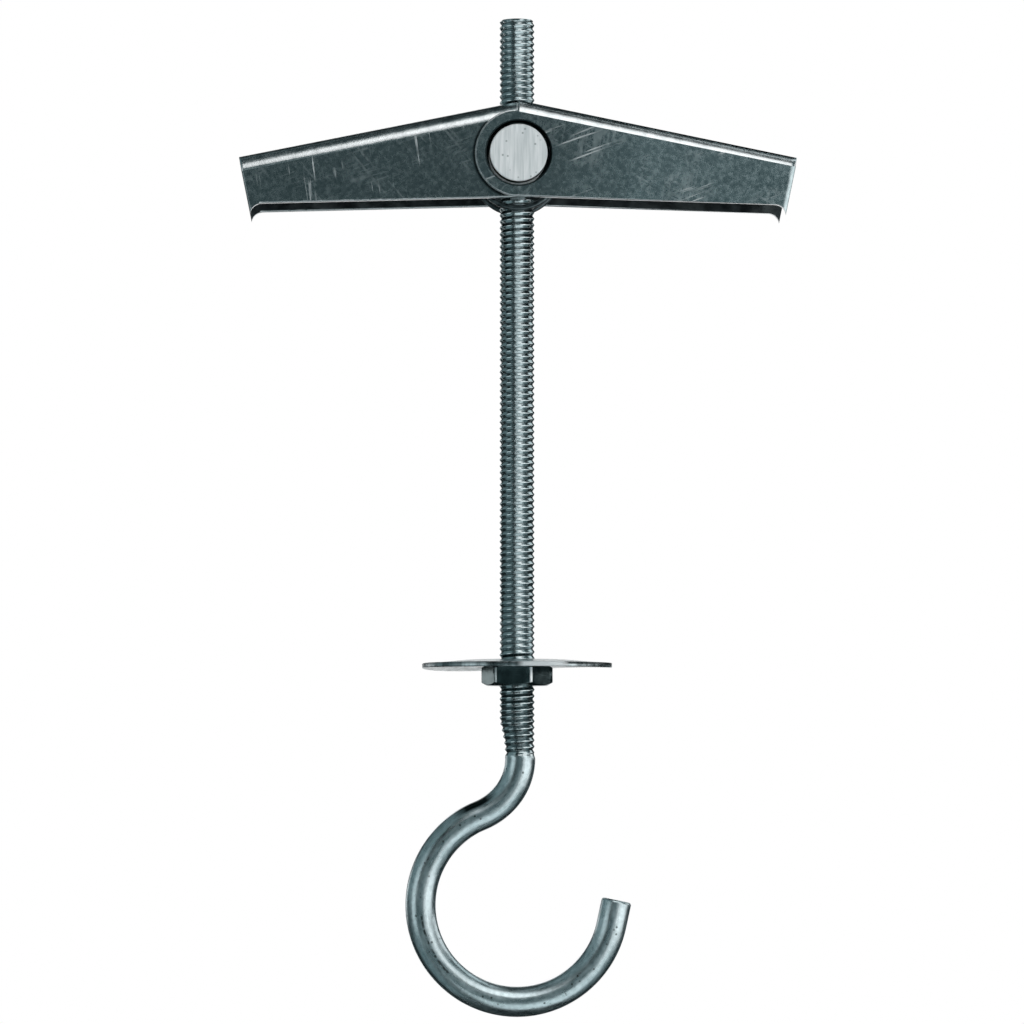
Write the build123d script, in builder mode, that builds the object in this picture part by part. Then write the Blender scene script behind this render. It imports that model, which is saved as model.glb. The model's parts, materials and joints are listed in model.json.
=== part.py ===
from build123d import *
from math import acos, atan2, cos, degrees, hypot, pi, radians, sin, sqrt, tan
import os

# A spring toggle anchor: a threaded rod that ends in a hook, with a two-winged toggle near
# its top and a large washer on a thin nut below. The origin lies on the rod's axis in the
# washer's upper face, which bears on the ceiling. +Z is up and -Y faces the viewer.
# Lengths are in millimetres and angles in degrees.

# Rod: M4 thread on drawn wire
thread_diameter = 3.9  # over the crests
shank_diameter = 3.35  # plain wire of the bend and the hook
thread_fall = 10.7  # washer face down to the thread's lower end
thread_runout = 0.5  # height of the cone where the thread fades into the wire
plain_length = 0.3  # straight plain wire between the thread and the bend
rod_stub = 15.45  # pivot axis up to the rod's top end
rod_chamfer = 0.5

# Hook, along the wire's centreline
bend_radius = 6.9
hook_radius = 10.7
tip_angle = 12.2  # where the hook's arc ends, below the horizontal
tip_length = 2.85  # straight wire from there to the tip
tip_round = 0.35

# Washer and nut
washer_diameter = 21.1
washer_thickness = 0.55
washer_round = 0.15
washer_clearance = 0.3  # around the thread
nut_across_flats = 7.0
nut_height = 2.4
nut_turn = 9.0  # of a corner from the X axis, towards the viewer
nut_face_share = 0.95  # round face over the width across flats
nut_chamfer_angle = 30.0
bore_chamfer = 0.25

# Trunnion: the cross pin that runs on the thread and carries both wings
pivot_height = 55.95
trunnion_diameter = 6.4
trunnion_proud = 0.15  # beyond the outer flanges
trunnion_chamfer = 0.12
thread_clearance = 0.05  # radial, in the trunnion and the nut

# Torsion spring: one wire with a coil on each side of the rod
spring_wire = 0.65
coil_drop = 1.15  # the slack coil hangs this far below the pivot axis
coil_gap = 0.02  # between turns
coil_clearance = 0.06  # beside the rod and the flanges
seat_gap = 0.05  # to the trunnion and to the webs
leg_reach = 12.0  # pivot out to the ends of the legs, along the web
leg_bend = 0.9  # centreline radius at the corners of the bridge

# Wings: two like stampings, one turned half round, each a channel with its web on top
sheet = 0.75
wing_length = 30.4  # pivot to the outer end, along the web
web_slope = 11.5  # down from the level, outward
edge_slope = 1.6  # lower edge of the flanges, down from the level
end_depth = 6.6  # web's upper face to the tips of the spikes, at the outer end
spike_width = 1.3
ear_width = 1.3  # metal around the pivot hole
pivot_clearance = 0.35  # radial
wing_gap = 0.1  # between the flanges of the two wings
web_clearance = 0.25  # from the ear of one wing to the web of the other
fold_radius = 1.15  # outer radius of the folds
stop_gap = 0.05  # each web's end to the plane where the two webs meet
notch_clearance = 0.35  # around the rod, in the webs
overrun = 1.0  # by which cuts pass the faces that they open

# Derived sizes
thread_radius = thread_diameter / 2
shank_radius = shank_diameter / 2
trunnion_radius = trunnion_diameter / 2
slope = radians(web_slope)

bend_top = -(thread_fall + plain_length)
hook_height = bend_top - sqrt(hook_radius**2 + 2 * hook_radius * bend_radius)
join_angle = degrees(atan2(bend_top - hook_height, bend_radius))
hook_start = 180 - join_angle

ear_radius = trunnion_radius + pivot_clearance + ear_width
web_under = ear_radius + web_clearance  # pivot to the web's lower face, square to it
web_top = web_under + sheet

# The coil's upper inside rests on the trunnion, and its legs reach up to the webs
coil_radius = trunnion_radius + coil_drop + seat_gap + spring_wire / 2
leg_height = web_under - seat_gap - spring_wire / 2
leg_end_x = leg_reach * cos(slope) + leg_height * sin(slope)
leg_end_z = leg_height * cos(slope) - leg_reach * sin(slope)
leg_distance = hypot(leg_end_x, leg_end_z + coil_drop)
leg_length = sqrt(leg_distance**2 - coil_radius**2)
coil_start = atan2(leg_end_z + coil_drop, leg_end_x) + acos(coil_radius / leg_distance)
coil_turns = 1 + 2 * (90 - degrees(coil_start)) / 360
coil_pitch = spring_wire + coil_gap
coil_depth = coil_pitch * coil_turns
leg_drift = leg_length * coil_pitch / (2 * pi * coil_radius)  # the legs keep the coil's lead

# Across the toggle: rod, coil, inner flange and outer flange, from the middle outward
coil_near = thread_radius + coil_clearance + spring_wire / 2
inner_face = coil_near + coil_depth + leg_drift + spring_wire / 2 + coil_clearance
stagger = (sheet + wing_gap) / 2
channel_width = 2 * (inner_face + sheet + stagger)
outer_face = channel_width / 2 + stagger
trunnion_length = 2 * (outer_face + trunnion_proud)


def on_wing(out, up):
    """A point of a wing's side view, out along the web and up square to it, from the pivot."""
    return (out * cos(slope) + up * sin(slope), up * cos(slope) - out * sin(slope))


def make_wing(side):
    """One wing: a folded channel trimmed to its side outline. side is 1 to the right, -1 to the left."""
    side_view = Plane(origin=(0, 0, pivot_height), x_dir=(side, 0, 0), z_dir=(0, -side, 0))
    section = Plane(
        origin=(0, -side * stagger, pivot_height),
        x_dir=(0, side, 0),
        z_dir=(side * cos(slope), 0, -sin(slope)),
    )
    half_width = (channel_width - sheet) / 2
    channel_depth = 2 * web_top + ear_radius

    edge = radians(edge_slope)
    edge_start = (-ear_radius * sin(edge), -ear_radius * cos(edge))
    tip = on_wing(wing_length, web_top - end_depth)
    edge_length = tip[0] * cos(edge) - tip[1] * sin(edge) - spike_width
    edge_end = (edge_start[0] + edge_length * cos(edge), edge_start[1] - edge_length * sin(edge))
    spike_drop = -tip[0] * sin(edge) - tip[1] * cos(edge) - ear_radius
    spike_centre = (edge_end[0] - spike_drop * sin(edge), edge_end[1] - spike_drop * cos(edge))
    ear_top = (stop_gap, sqrt(ear_radius**2 - stop_gap**2))
    web_root = (stop_gap, web_top / cos(slope) - stop_gap * tan(slope))

    with BuildPart() as wing:
        with BuildSketch(section.offset(-2 * ear_radius)):
            with BuildLine():
                FilletPolyline(
                    (-half_width, -channel_depth),
                    (-half_width, web_top - sheet / 2),
                    (half_width, web_top - sheet / 2),
                    (half_width, -channel_depth),
                    radius=fold_radius - sheet / 2,
                )
            trace(line_width=sheet)
        extrude(amount=2 * ear_radius + wing_length + overrun)

        with BuildSketch(side_view):
            with BuildLine():
                Polyline(ear_top, web_root, on_wing(wing_length, web_top), tip)
                EllipticalCenterArc(spike_centre, spike_width, spike_drop, rotation=-edge_slope)
                Line(edge_end, edge_start)
                ThreePointArc(edge_start, (-ear_radius, 0), ear_top)
            make_face()
        extrude(amount=channel_width, both=True, mode=Mode.INTERSECT)

        with BuildSketch(side_view):
            Circle(trunnion_radius + pivot_clearance)
        extrude(amount=channel_width, both=True, mode=Mode.SUBTRACT)

        with BuildSketch(Plane.XY.offset(pivot_height)):
            Circle(thread_radius + notch_clearance)
        extrude(amount=web_top + overrun, mode=Mode.SUBTRACT)
    return wing.part


# Hook rod: the threaded length turned as one profile, and the wire swept through the hook
with BuildPart() as hook_rod:
    rod_top = pivot_height + rod_stub
    with BuildSketch(Plane.XZ):
        with BuildLine():
            Polyline(
                (0, -thread_fall),
                (shank_radius, -thread_fall),
                (thread_radius, -thread_fall + thread_runout),
                (thread_radius, rod_top - rod_chamfer),
                (thread_radius - rod_chamfer, rod_top),
                (0, rod_top),
                close=True,
            )
        make_face()
    revolve(axis=Axis.Z)

    with BuildLine(Plane.XZ) as wire:
        Line((0, -thread_fall), (0, bend_top))
        CenterArc((-bend_radius, bend_top), bend_radius, 0, -join_angle)
        hook = CenterArc((0, hook_height), hook_radius, hook_start, 360 - tip_angle - hook_start)
        Line(hook @ 1, hook @ 1 + (hook % 1) * tip_length)
    with BuildSketch(Plane.XY.offset(-thread_fall)):
        Circle(shank_radius)
    sweep(path=wire.line)
    fillet(edges().filter_by(GeomType.CIRCLE).sort_by(Axis.X)[-1], tip_round)

# Washer: a plain stamped disc that hangs loosely on the rod
with BuildPart() as washer:
    with BuildSketch(Plane.XY):
        Circle(washer_diameter / 2)
        Circle(thread_radius + washer_clearance, mode=Mode.SUBTRACT)
    extrude(amount=-washer_thickness)
    fillet(edges().filter_by(GeomType.CIRCLE).sort_by(SortBy.RADIUS)[-2:], washer_round)

# Nut: a thin hexagon with both faces chamfered round, pressed up against the washer
with BuildPart() as hex_nut:
    nut_top = -washer_thickness
    nut_bottom = nut_top - nut_height
    with BuildSketch(Plane.XY.offset(nut_bottom)):
        RegularPolygon(nut_across_flats / 2, 6, major_radius=False, rotation=-nut_turn)
    extrude(amount=nut_height)

    face_radius = nut_face_share * nut_across_flats / 2
    corner_radius = nut_across_flats / sqrt(3)
    corner_fall = (corner_radius - face_radius) * tan(radians(nut_chamfer_angle))
    with BuildSketch(Plane.XZ):
        with BuildLine():
            Polyline(
                (0, nut_bottom),
                (face_radius, nut_bottom),
                (corner_radius, nut_bottom + corner_fall),
                (corner_radius, nut_top - corner_fall),
                (face_radius, nut_top),
                (0, nut_top),
                close=True,
            )
        make_face()
    revolve(axis=Axis.Z, mode=Mode.INTERSECT)
    with BuildSketch(Plane.XY.offset(nut_bottom)):
        Circle(thread_radius + thread_clearance)
    extrude(amount=nut_height, mode=Mode.SUBTRACT)
    chamfer(edges().filter_by(GeomType.CIRCLE).sort_by(SortBy.RADIUS)[:2], bore_chamfer)

# Trunnion: a plain pin across the wings, bored through for the rod
with BuildPart() as trunnion:
    with BuildSketch(Plane(origin=(0, 0, pivot_height), x_dir=(1, 0, 0), z_dir=(0, -1, 0))):
        Circle(trunnion_radius)
    extrude(amount=trunnion_length / 2, both=True)
    chamfer(edges().filter_by(GeomType.CIRCLE), trunnion_chamfer)
    with BuildSketch(Plane.XY.offset(pivot_height)):
        Circle(thread_radius + thread_clearance)
    extrude(amount=trunnion_diameter, both=True, mode=Mode.SUBTRACT)

# Torsion spring: half the wire, from the middle of the bridge, round one coil and out, then mirrored
coil_plane = Plane(
    origin=(0, -coil_near, pivot_height - coil_drop),
    x_dir=(cos(coil_start), 0, sin(coil_start)),
    z_dir=(0, -1, 0),
)
coil = coil_plane * Helix(coil_pitch, coil_depth, coil_radius)
with BuildPart() as torsion_spring:
    with BuildLine() as spring_path:
        corner = coil @ 0 - (coil % 0) * leg_length
        FilletPolyline((corner.X, 0, corner.Z), corner, coil @ 0, radius=leg_bend)
        add(coil)
        Line(coil @ 1, coil @ 1 + (coil % 1) * leg_length)
    with BuildSketch(Plane(origin=(corner.X, 0, corner.Z), z_dir=(0, -1, 0))):
        Circle(spring_wire / 2)
    sweep(path=spring_path.line)
    mirror(about=Plane.XZ)

wing_right = make_wing(1)
wing_left = make_wing(-1)

os.makedirs("parts", exist_ok=True)
hook_rod.part.label = "hook_rod"
export_step(hook_rod.part, "parts/hook_rod.step")
washer.part.label = "washer"
export_step(washer.part, "parts/washer.step")
hex_nut.part.label = "hex_nut"
export_step(hex_nut.part, "parts/hex_nut.step")
trunnion.part.label = "trunnion"
export_step(trunnion.part, "parts/trunnion.step")
torsion_spring.part.label = "torsion_spring"
export_step(torsion_spring.part, "parts/torsion_spring.step")
wing_right.label = "wing_right"
export_step(wing_right, "parts/wing_right.step")
wing_left.label = "wing_left"
export_step(wing_left, "parts/wing_left.step")
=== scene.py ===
# %% [markdown]
# # A spring toggle anchor with a ceiling hook
# A threaded rod ends in an open hook. Two sprung wings fold on a cross pin near its top, and a
# large washer sits on a thin nut below. The CAD model holds the sizes and the joints. This
# script dresses it: each piece is modelled again with a real thread and soft edges, gets a
# plated steel finish, and is lit and seen as in a product photograph.

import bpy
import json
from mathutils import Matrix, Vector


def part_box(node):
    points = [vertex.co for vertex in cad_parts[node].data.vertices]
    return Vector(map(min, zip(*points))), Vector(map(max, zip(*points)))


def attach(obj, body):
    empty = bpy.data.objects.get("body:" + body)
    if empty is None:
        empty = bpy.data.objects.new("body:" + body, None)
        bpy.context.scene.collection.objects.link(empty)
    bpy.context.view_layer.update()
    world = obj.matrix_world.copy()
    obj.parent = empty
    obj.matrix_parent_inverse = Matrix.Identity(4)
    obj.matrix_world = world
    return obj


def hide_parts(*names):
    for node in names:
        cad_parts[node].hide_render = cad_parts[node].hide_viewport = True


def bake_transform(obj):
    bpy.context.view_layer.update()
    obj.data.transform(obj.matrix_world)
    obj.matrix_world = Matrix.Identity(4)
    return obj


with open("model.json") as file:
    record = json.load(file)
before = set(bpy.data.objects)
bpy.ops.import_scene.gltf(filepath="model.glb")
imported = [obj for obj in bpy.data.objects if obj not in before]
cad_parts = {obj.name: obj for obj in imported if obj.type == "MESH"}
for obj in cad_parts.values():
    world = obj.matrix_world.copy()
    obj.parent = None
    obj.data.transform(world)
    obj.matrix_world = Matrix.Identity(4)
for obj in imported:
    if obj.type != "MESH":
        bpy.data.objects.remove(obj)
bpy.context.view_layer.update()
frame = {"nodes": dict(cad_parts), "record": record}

mm = 0.001

# %% [markdown]
# ## The camera
# The photograph was taken with a long lens from about half a metre, a little below the washer
# and a little to the left, so that one sees the undersides of the wings. A camera can be set by
# eye, but here the thread gives the scale, so lens and distance follow from a few measured
# pixels.

# %% Set the camera
import math

import bpy
from mathutils import Matrix, Vector

photo_pixels = 1024
focal_pixels = 5000
pixels_per_mm = 9.0
sensor_width = 36.0
view_centre = Vector((-0.56, 0, 16.4)) * mm
camera_turn = math.radians(-2.1)
camera_height = -12 * mm
camera_distance = focal_pixels / pixels_per_mm * mm

scene = bpy.context.scene
camera = bpy.data.objects.new("photo_camera", bpy.data.cameras.new("photo_camera"))
scene.collection.objects.link(camera)
scene.camera = camera
camera.data.sensor_width = sensor_width
camera.data.lens = sensor_width * focal_pixels / photo_pixels
camera.data.clip_start = 10 * mm
camera.location = Vector((math.sin(camera_turn), -math.cos(camera_turn), 0)) * camera_distance
camera.location.z = camera_height
camera.rotation_mode = "QUATERNION"
camera.rotation_quaternion = (view_centre - camera.location).to_track_quat("-Z", "Y")
print("Lens in mm:", round(camera.data.lens, 1), "distance in mm:", round(camera_distance / mm))

# %% [markdown]
# ## Nodes for a plated finish
# Nearly every finish here is zinc on steel, so each one is a metal whose colour and roughness
# drift a little over the surface, with a grain up to a hundredth of a millimetre deep. Image
# textures could show that, but patterns made by nodes stay sharp at any distance. They are
# measured in millimetres, from the piece's own coordinates or from values that its points carry.
# A pattern is added to the material that its first socket belongs to.


# %% Helpers for nodes
def add_node(tree, kind, inputs=None, **settings):
    """A new node with its settings, and its sockets given a value or linked to another node's."""
    node = tree.nodes.new(kind)
    for name, value in settings.items():
        setattr(node, name, value)
    for name, value in (inputs or {}).items():
        if isinstance(value, bpy.types.NodeSocket):
            tree.links.new(value, node.inputs[name])
        else:
            node.inputs[name].default_value = value
    return node


def new_material(name):
    """A material and its shader."""
    material = bpy.data.materials.new(name)
    material.use_nodes = True
    return material, material.node_tree.nodes["Principled BSDF"]


def new_metal(name):
    """A metal, its shader, and its coordinates in millimetres."""
    material, shader = new_material(name)
    shader.inputs["Metallic"].default_value = 1.0
    place = add_node(material.node_tree, "ShaderNodeTexCoord").outputs["Object"]
    sockets = {"Vector": place, "Scale": (1 / mm,) * 3}
    place = add_node(material.node_tree, "ShaderNodeMapping", sockets)
    return material, shader, place.outputs["Vector"]


def carried(material, name):
    """The sockets of a value that the points of a piece carry."""
    return add_node(material.node_tree, "ShaderNodeAttribute", attribute_name=name).outputs


def axes(place):
    """The three numbers of a place or a direction."""
    return add_node(place.id_data, "ShaderNodeSeparateXYZ", {0: place}).outputs


# %% Helpers for patterns and numbers
# A Mix node has sockets for numbers, vectors and colours in one row. These are for colours.
mix_factor, mix_first, mix_second, mix_result = 0, 6, 7, 2


def stretched(place, scale, turn=(0, 0, 0)):
    """The coordinates turned, then scaled by axis, for a pattern that runs one way."""
    tree = place.id_data
    turned = add_node(tree, "ShaderNodeMapping", {"Vector": place, "Rotation": turn})
    sockets = {"Vector": turned.outputs["Vector"], "Scale": scale}
    return add_node(tree, "ShaderNodeMapping", sockets).outputs["Vector"]


def noise(place, scale, detail=4.0, distortion=0.0):
    """A soft random pattern from 0 to 1, with about so many waves to the unit."""
    sockets = {"Vector": place, "Scale": scale, "Detail": detail, "Distortion": distortion}
    return add_node(place.id_data, "ShaderNodeTexNoise", sockets).outputs["Fac"]


def ramp(factor, low, high, from_value=0.0, to_value=1.0):
    """A number that runs from one value to another while factor runs from low to high."""
    sockets = {
        "Value": factor,
        "From Min": low,
        "From Max": high,
        "To Min": from_value,
        "To Max": to_value,
    }
    return add_node(factor.id_data, "ShaderNodeMapRange", sockets).outputs["Result"]


def blend_colours(factor, first, second):
    """The first colour where factor is 0, the second where it is 1."""
    sockets = {mix_factor: factor, mix_first: first, mix_second: second}
    node = add_node(factor.id_data, "ShaderNodeMix", sockets, data_type="RGBA")
    return node.outputs[mix_result]


def math_node(operation, *numbers):
    """One or two numbers put through one operation."""
    sockets = dict(enumerate(numbers))
    node = add_node(numbers[0].id_data, "ShaderNodeMath", sockets, operation=operation)
    return node.outputs["Value"]


def multiply(first, second):
    """Two numbers, or two masks, multiplied."""
    return math_node("MULTIPLY", first, second)


# %% Helper to finish a metal
fine_grain = 0.006 * mm
coarse_grain = 0.01 * mm


def finish_metal(material, shader, colour, roughness, grain, depth):
    """Joins a colour, a roughness and a grain of some depth to the shader."""
    links = material.node_tree.links
    links.new(colour, shader.inputs["Base Color"])
    links.new(roughness, shader.inputs["Roughness"])
    sockets = {"Height": grain, "Distance": depth}
    bump = add_node(material.node_tree, "ShaderNodeBump", sockets)
    links.new(bump.outputs["Normal"], shader.inputs["Normal"])
    return material


# %% [markdown]
# ## From mesh to piece
# Each new piece stands for a CAD node. It hides that node, moves with its body and takes its
# finishes as materials. The record says which body that is, so one helper serves every piece. Edges
# that turn sharply stay crisp and the rest are smooth.

# %% Helper for pieces
import bmesh

record = frame["record"]
body_of_node = {n: body for body, nodes in record["behaviour"]["bodies"].items() for n in nodes}
crease_angle = math.radians(32)


def make_piece(name, shape, node, *materials, flat_faces=False, rides=True):
    """A piece from a bmesh, in place of a CAD node.

    flat_faces keeps wide faces looking flat. With rides=False the piece rides on no body.
    """
    mesh = bpy.data.meshes.new(name)
    shape.to_mesh(mesh)
    shape.free()
    mesh.shade_smooth()
    mesh.set_sharp_from_angle(angle=crease_angle)
    for material in materials:
        mesh.materials.append(material)
    piece = bpy.data.objects.new(name, mesh)
    scene.collection.objects.link(piece)
    if flat_faces:
        piece.modifiers.new("flat faces", "WEIGHTED_NORMAL").keep_sharp = True
    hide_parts(node)
    if rides:
        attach(piece, body_of_node[node])
    print(name, "stands for", node, "with", len(mesh.polygons), "faces")
    return piece


# %% [markdown]
# ## The thread
# An M4 thread is a groove that climbs 0.7 mm with each turn. It could be a bump in a material,
# but its teeth show along the rod's outline, so it is real here. Half a pitch of its profile
# is a narrow root, a straight flank and half of a narrow flat crest. The whole pitch is spun once
# round the rod while it climbs, and that turn is doubled until it is long enough. An operator
# gives back points, edges and faces together, so small helpers pick what the next one needs.


# %% Helpers for bmesh operators
def whole(shape):
    """All points, edges and faces of a bmesh."""
    return shape.verts[:] + shape.edges[:] + shape.faces[:]


def only_points(items):
    """The points among an operator's results."""
    return [item for item in items if isinstance(item, bmesh.types.BMVert)]


def only_edges(items):
    """The edges among an operator's results."""
    return [item for item in items if isinstance(item, bmesh.types.BMEdge)]


def points_of(edges):
    """The points of some edges, each one once and in a fixed order."""
    return list(dict.fromkeys(point for edge in edges for point in edge.verts))


# %% Spin one turn and stack it
rod_low, rod_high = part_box("hook_rod")
rod_top = rod_high.z
thread_pitch = 0.7 * mm
thread_depth = 0.2 * mm
crest_radius = rod_high.y
root_radius = crest_radius - thread_depth
thread_end = -10.7 * mm
turn_steps = 36
doublings = 7
half_profile = ((0.0, 0.0), (0.02, 0.02), (0.2, 0.45), (0.4, 0.94), (0.43, 1.0), (0.5, 1.0))
weld = 0.001 * mm

rod = bmesh.new()
profile = half_profile + tuple((1 - climb, rise) for climb, rise in half_profile[-2::-1])
tooth_points = []
for climb, rise in profile:
    radius = root_radius + thread_depth * rise
    tooth_points.append(rod.verts.new((radius, 0, thread_end + thread_pitch * (climb - 1))))
for lower, upper in zip(tooth_points, tooth_points[1:]):
    rod.edges.new((lower, upper))
bmesh.ops.spin(
    rod,
    geom=rod.verts[:] + rod.edges[:],
    cent=(0, 0, 0),
    axis=(0, 0, 1),
    dvec=(0, 0, thread_pitch / turn_steps),
    angle=math.tau,
    steps=turn_steps,
)
for count in range(doublings):
    copied = only_points(bmesh.ops.duplicate(rod, geom=whole(rod))["geom"])
    bmesh.ops.translate(rod, verts=copied, vec=(0, 0, thread_pitch * 2**count))
bmesh.ops.remove_doubles(rod, verts=rod.verts[:], dist=weld)
print("Thread turns:", 2**doublings, "faces:", len(rod.faces))

# %% [markdown]
# The stack is longer than the rod, so two planes trim it. At the top the crests are turned down
# to a small chamfer, and at the bottom the groove runs out into the plain wire. Both are done by
# moving points towards or away from the axis. Each point first notes how far up the tooth it
# is, for the finish.

# %% Trim the thread
wire_radius = 1.675 * mm
rod_chamfer = 0.2 * mm
runout_height = 0.4 * mm
close_by = 10 * weld

for height, direction in ((rod_top, 1), (thread_end, -1)):
    bmesh.ops.bisect_plane(
        rod,
        geom=whole(rod),
        dist=weld,
        plane_co=(0, 0, height),
        plane_no=(0, 0, direction),
        clear_outer=True,
    )


def smooth(share):
    """A step that starts and ends softly, from 0 at 0 to 1 at 1."""
    share = min(1, max(0, share))
    return share * share * (3 - 2 * share)


tooth = rod.verts.layers.float.new("tooth")
for point in rod.verts:
    radius = point.co.xy.length
    share = smooth((point.co.z - thread_end) / runout_height)
    point[tooth] = 1 - share * (crest_radius - radius) / thread_depth
    wanted = wire_radius + (radius - wire_radius) * share
    wanted = min(wanted, crest_radius - rod_chamfer + rod_top - point.co.z)
    point.co.xy *= wanted / radius
bmesh.ops.remove_doubles(rod, verts=rod.verts[:], dist=close_by)


def open_edges(shape, height):
    """The edges of an open end at one height."""
    return [
        edge
        for edge in shape.edges
        if edge.is_boundary and all(abs(point.co.z - height) < close_by for point in edge.verts)
    ]


top_cap = bmesh.ops.edgenet_fill(rod, edges=open_edges(rod, rod_top))
thread_faces = set(rod.faces)
print("Thread after trimming:", len(rod.faces), "faces, capped with", len(top_cap["faces"]))

# %% [markdown]
# ## The hook
# The lower end of the rod is plain wire, bent to the left and then round in an open loop. The
# ring of edges that the trim left at the bottom is the wire's section. It is pushed down, spun
# about the centre of the bend and then about the centre of the loop, and pushed out to the tip.

# %% Sizes of the hook
bend_radius = 6.9 * mm
hook_radius = 10.7 * mm
plain_length = 0.3 * mm
tip_angle = math.radians(12.2)
tip_length = 2.85 * mm
tip_round = 0.3 * mm
bend_steps = 30
hook_steps = 120

bend_top = thread_end - plain_length
hook_drop = math.sqrt(hook_radius**2 + 2 * hook_radius * bend_radius)
bend_centre = Vector((-bend_radius, 0, bend_top))
hook_centre = Vector((0, 0, bend_top - hook_drop))
bend_angle = math.atan2(hook_drop, bend_radius)
hook_angle = math.pi + bend_angle - tip_angle
print("Bend and loop in degrees:", round(math.degrees(bend_angle)), round(math.degrees(hook_angle)))


# %% Helpers to push, turn and round
def push_ring(shape, ring, step):
    """Extrudes a ring of edges by one step and returns the new ring."""
    pushed = bmesh.ops.extrude_edge_only(shape, edges=ring)["geom"]
    bmesh.ops.translate(shape, verts=only_points(pushed), vec=step)
    return only_edges(pushed)


def turn_ring(shape, ring, centre, axis, angle, steps, climb=(0, 0, 0)):
    """Spins a ring of edges about an axis and returns the last ring."""
    spun = bmesh.ops.spin(
        shape,
        geom=points_of(ring) + ring,
        cent=centre,
        axis=axis,
        dvec=climb,
        angle=angle,
        steps=steps,
    )
    return only_edges(spun["geom_last"])


def round_edges(shape, edges, offset, segments):
    """Bevels edges to a round and returns its faces."""
    bevelled = bmesh.ops.bevel(
        shape,
        geom=edges,
        offset=offset,
        segments=segments,
        profile=0.5,
        affect="EDGES",
        material=-1,
        clamp_overlap=False,
    )
    return bevelled["faces"]


# %% Bend the wire
ring = push_ring(rod, open_edges(rod, thread_end), (0, 0, -plain_length))
ring = turn_ring(rod, ring, bend_centre, (0, 1, 0), bend_angle, bend_steps)
ring = turn_ring(rod, ring, hook_centre, (0, -1, 0), hook_angle, hook_steps)
tip_way = Vector((math.sin(tip_angle), 0, math.cos(tip_angle)))
ring = push_ring(rod, ring, tip_way * tip_length)
bmesh.ops.edgenet_fill(rod, edges=ring)
round_edges(rod, ring, tip_round, 4)
hook_low = min(point.co.z for point in rod.verts)
print("Rod with hook:", len(rod.faces), "faces")
print("Lowest point in mm:", round(hook_low / mm, 2), "in CAD:", round(rod_low.z / mm, 2))

# %% [markdown]
# Drawn wire carries fine streaks along its length, so its finish needs to know which way the
# wire runs. Each point gets an attribute with its direction round the wire and its distance
# along it. The direction is kept as a cosine and a sine, which meet without a seam.

# %% Mark the run of the wire
bend_run = bend_radius * bend_angle
before_loop = 0.5


def wire_run(place):
    """At a point of the wire: the way out of the bend, its distance that way, and its run."""
    from_bend = (place - bend_centre) * Vector((1, 0, 1))
    from_hook = (place - hook_centre) * Vector((1, 0, 1))
    bend_turn = math.atan2(-from_bend.z, from_bend.x)
    if place.z > bend_top:
        return Vector((1, 0, 0)), place.x, bend_top - place.z
    if bend_turn < bend_angle and from_bend.length < bend_radius + 2 * wire_radius:
        return from_bend.normalized(), from_bend.length - bend_radius, bend_radius * bend_turn
    hook_turn = math.atan2(from_hook.z, from_hook.x) - math.pi + bend_angle
    run = bend_run + hook_radius * ((hook_turn + before_loop) % math.tau - before_loop)
    return -from_hook.normalized(), hook_radius - from_hook.length, run


bmesh.ops.recalc_face_normals(rod, faces=rod.faces[:])
flow = rod.verts.layers.float_vector.new("wire_flow")
for point in rod.verts:
    _, outward, run = wire_run(point.co)
    across = Vector((outward, point.co.y)).normalized()
    point[flow] = (across.x, across.y, run / mm)
print("Wire length below the thread in mm:", round(max(point[flow].z for point in rod.verts), 1))

# %% [markdown]
# The wire was bent with the start of the thread in the tool, which pressed it to the right. So it
# leaves the thread a little off the axis, and on the left the last turns fade into smooth wire.
# Points of the thread are pulled in to the pressed wire, and points of the bend are moved out.

# %% Press the wire to one side
wire_offset = 0.35 * mm
offset_run = 9 * mm
taper_height = 6.5 * mm
taper_room = 0.6 * mm

for point in rod.verts:
    way, _, run = wire_run(point.co)
    rise = point.co.z - thread_end
    if rise < -weld:
        point.co += way * wire_offset * (1 - smooth(run / offset_run))
    elif rise < taper_height:
        taper = 1 - smooth(rise / taper_height)
        pressed = wire_radius + taper_room * (1 - taper)
        radius = point.co.xy.length
        aside = wire_offset * taper * point.co.xy / radius
        reach = aside.x + math.sqrt(pressed**2 - aside.y**2)
        groove = max(0, crest_radius - radius) * smooth(rise / runout_height)
        point.co.xy *= (min(reach, crest_radius) - groove) / radius
print("Wire leaves the thread off its axis by mm:", wire_offset / mm)

# %% [markdown]
# ### Finish of the wire and the thread
# The wire is dull zinc, paler where it was drawn clean, with a few pits, a broken dark line along
# the front of the loop, and painted shade in the hollow of the bend. In the thread the zinc stays
# bright on the crests, and the roots are painted dark as shade. The height on the tooth, noted when
# the thread was trimmed, tells one from the other.

# %% Marks on the wire
streak_run = (21.8, 28.6)
streak_side = (-0.03, 0.05)
bend_shade_run = (6.4, 9.0)
bend_shade_side = (-1.1, -0.66)
marks_and_shade_dark = (0.02, 0.03, 0.03, 1)


def window(value, low, high, soft):
    """1 between two values and 0 outside them, with soft ends."""
    rising = ramp(value, low - soft, low)
    falling = ramp(value, high, high + soft, 1.0, 0.0)
    return multiply(rising, falling)


def front_line_and_bend_shade(place, flow_place):
    """A broken dark line along the front of the loop, and painted shade in the hollow of the bend.
    """
    outward, backward, run = axes(flow_place)
    broken = ramp(noise(place, 2.2, 3.0), 0.42, 0.56, 0.0, 0.85)
    line = window(outward, *streak_side, 0.07)
    line = multiply(line, window(run, *streak_run, 0.8))
    line = multiply(line, broken)
    # Painted shade: a dark patch on the front of the hollow of the bend.
    bend_shade = window(outward, *bend_shade_side, 0.16)
    bend_shade = multiply(bend_shade, window(run, *bend_shade_run, 1.6))
    front = ramp(backward, -0.3, 0.1, 1.0, 0.0)
    return multiply(math_node("MAXIMUM", line, bend_shade), front)


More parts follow.
